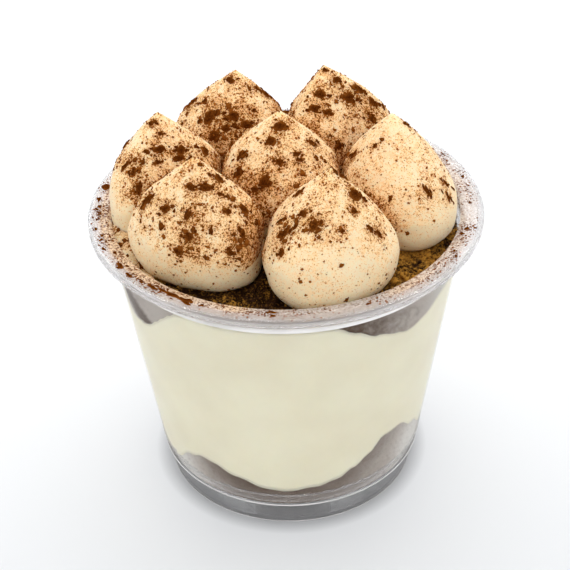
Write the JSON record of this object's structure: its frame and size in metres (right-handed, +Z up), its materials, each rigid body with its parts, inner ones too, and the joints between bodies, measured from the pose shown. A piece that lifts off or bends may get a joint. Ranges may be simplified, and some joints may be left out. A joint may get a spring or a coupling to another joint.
{
  "type": "tiramisu in a clear dessert cup",
  "caption": "Tiramisu in a clear tapered dessert cup: soaked sponge, thick cream, crumbled sponge and pressed-together piped dollops of cream dusted with cocoa.",
  "frame": {"origin": "middle of the foot, on the plane it stands on, under the centre of the rim", "axes": "+Z up along the cup's axis, -Y towards the viewer of the picture, +X to the viewer's right"},
  "size_m": [0.095, 0.095, 0.0989],
  "materials": {
    "clear_plastic": "clear thermoformed PET, glossy",
    "coffee_sponge": "sponge soaked in coffee, moist",
    "coffee_crumb": "crumbled coffee sponge, matt",
    "cream": "mascarpone cream, soft satin",
    "piped_cream": "piped mascarpone cream dusted with cocoa"
  },
  "bodies": {
    "root": {"cup": "clear_plastic", "base_sponge": "coffee_sponge", "cream_layer": "cream", "top_sponge": "coffee_crumb", "cream_smear": "cream", "dollop_centre": "piped_cream", "dollop_front_left": "piped_cream", "dollop_front_right": "piped_cream", "dollop_left": "piped_cream", "dollop_right": "piped_cream", "dollop_back_left": "piped_cream", "dollop_back_right": "piped_cream"}
  },
  "joints": []
}
